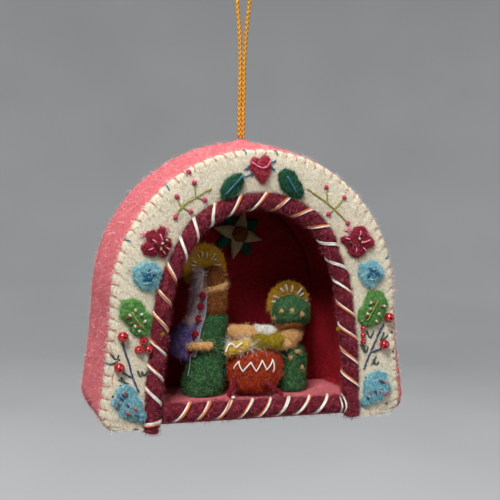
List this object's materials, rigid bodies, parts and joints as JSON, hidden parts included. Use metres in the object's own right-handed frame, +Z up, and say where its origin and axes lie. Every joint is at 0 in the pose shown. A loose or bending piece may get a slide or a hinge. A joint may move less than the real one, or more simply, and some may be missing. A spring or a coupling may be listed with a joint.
{
  "type": "felt nativity ornament",
  "caption": "Arched padded felt niche holding small felt figures round a crib, with a cream face of sewn flowers, leaves and beads, a wound felt roll, and a cord loop to hang it by.",
  "frame": {"origin": "the middle of the cord at the top of the hanging loop, where a hook holds it", "axes": "+Z up, front of the niche towards -Y, +X to the viewer's right"},
  "size_m": [0.1052, 0.0438, 0.1425],
  "materials": {
    "shell_felt": "matte",
    "lining_felt": "matte",
    "cream_felt": "matte",
    "wadding": "matte",
    "roll_felt": "matte",
    "winding_thread": "matte",
    "heart_felt": "matte",
    "dark_leaf_felt": "matte",
    "bright_leaf_felt": "matte",
    "flower_felt": "matte",
    "sky_felt": "matte",
    "bead_glass": "gloss",
    "petal_felt": "matte",
    "brown_felt": "matte",
    "robe_felt": "matte",
    "skin_felt": "matte",
    "halo_felt": "matte",
    "veil_felt": "matte",
    "trim_felt": "matte",
    "cloak_felt": "matte",
    "crib_felt": "matte",
    "leg_yarn": "matte",
    "fleece": "matte",
    "blanket_felt": "matte",
    "child_halo_felt": "matte",
    "gold_cord": "satin"
  },
  "bodies": {
    "cord": {"hanging_cord": "gold_cord"},
    "knot": {"cord_knot": "gold_cord"},
    "ornament": {"arch_roll": "roll_felt", "arch_winding": "winding_thread", "back_panel": "shell_felt", "blanket": "blanket_felt", "child": "skin_felt", "child_halo": "child_halo_felt", "crib_barrel": "crib_felt", "crib_fleece": "fleece", "crib_leg_left": "leg_yarn", "crib_leg_right": "leg_yarn", "face_panel": "cream_felt", "heart": "heart_felt", "joseph_arm": "skin_felt", "joseph_beard": "brown_felt", "joseph_cloak": "cloak_felt", "joseph_face": "skin_felt", "joseph_hair": "brown_felt", "joseph_halo": "halo_felt", "joseph_robe": "robe_felt", "joseph_trim": "trim_felt", "joseph_veil": "veil_felt", "left_bead_1": "bead_glass", "left_bead_2": "bead_glass", "left_bead_3": "bead_glass", "left_bead_4": "bead_glass", "left_bead_5": "bead_glass", "left_blue_blossom": "sky_felt", "left_corner_bloom": "sky_felt", "left_green_leaf": "bright_leaf_felt", "left_red_flower": "flower_felt", "left_top_leaf": "dark_leaf_felt", "mary_face": "skin_felt", "mary_hair": "brown_felt", "mary_halo": "halo_felt", "mary_hood": "robe_felt", "mary_robe": "robe_felt", "niche_back_wall": "lining_felt", "niche_floor": "lining_felt", "niche_lining": "lining_felt", "right_bead_1": "bead_glass", "right_bead_2": "bead_glass", "right_bead_3": "bead_glass", "right_bead_4": "bead_glass", "right_bead_5": "bead_glass", "right_blue_blossom": "sky_felt", "right_corner_bloom": "sky_felt", "right_green_leaf": "bright_leaf_felt", "right_red_flower": "flower_felt", "right_top_leaf": "dark_leaf_felt", "sill_roll": "roll_felt", "sill_winding": "winding_thread", "star_centre": "brown_felt", "star_leaves": "dark_leaf_felt", "star_petals": "petal_felt", "swaddling": "fleece", "underside_panel": "shell_felt", "vault_cover": "shell_felt", "wadding": "wadding"}
  },
  "joints": [
    {"name": "cord_swing", "type": "hinge", "parent": "cord", "child": "knot", "pos_m": [0, 0, -0.0491], "axis": [1, 0, 0], "range_deg": [-35, 35]},
    {"name": "cord_twist", "type": "hinge", "parent": "knot", "child": "ornament", "pos_m": [0, 0, -0.0491], "axis": [0, 0, 1], "range_deg": [-180, 180], "stiffness_Nm_per_rad": 0.0001}
  ]
}
